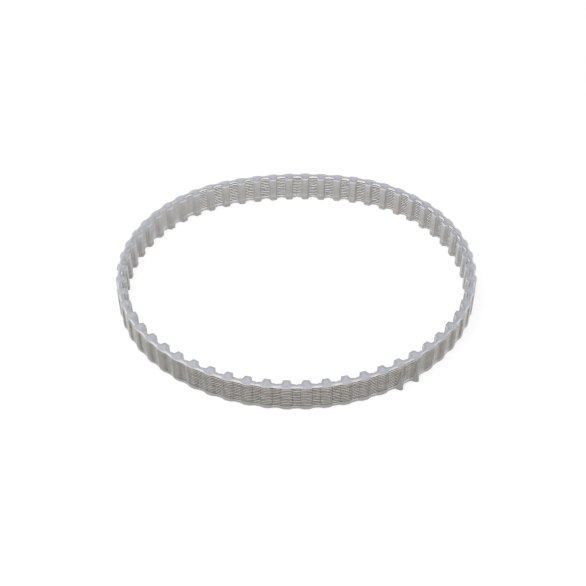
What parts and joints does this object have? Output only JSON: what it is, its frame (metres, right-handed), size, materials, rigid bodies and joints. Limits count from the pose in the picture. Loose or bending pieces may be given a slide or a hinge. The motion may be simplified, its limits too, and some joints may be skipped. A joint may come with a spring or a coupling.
{
  "type": "timing belt",
  "caption": "Endless toothed drive belt of clear cast polyurethane round wound steel cords, standing on its edge in a slightly oval ring.",
  "frame": {"origin": "middle of the ring's width and depth, on the lower cut edge", "axes": "+Z is the belt's axis, from the lower cut edge to the upper one; +X is along the ring's longer diameter; -Y is the side with the moulding lugs"},
  "size_m": [0.1994, 0.1748, 0.016],
  "materials": {
    "polyurethane": "milky translucent cast polyurethane, satin",
    "steel_cord": "bright stranded wire, embedded"
  },
  "bodies": {
    "root": {"toothed_body": "polyurethane", "s_cord_turn_1": "steel_cord", "s_cord_turn_2": "steel_cord", "s_cord_turn_3": "steel_cord", "s_cord_turn_4": "steel_cord", "s_cord_turn_5": "steel_cord", "s_cord_turn_6": "steel_cord", "z_cord_turn_1": "steel_cord", "z_cord_turn_2": "steel_cord", "z_cord_turn_3": "steel_cord", "z_cord_turn_4": "steel_cord", "z_cord_turn_5": "steel_cord", "z_cord_turn_6": "steel_cord"}
  },
  "joints": []
}
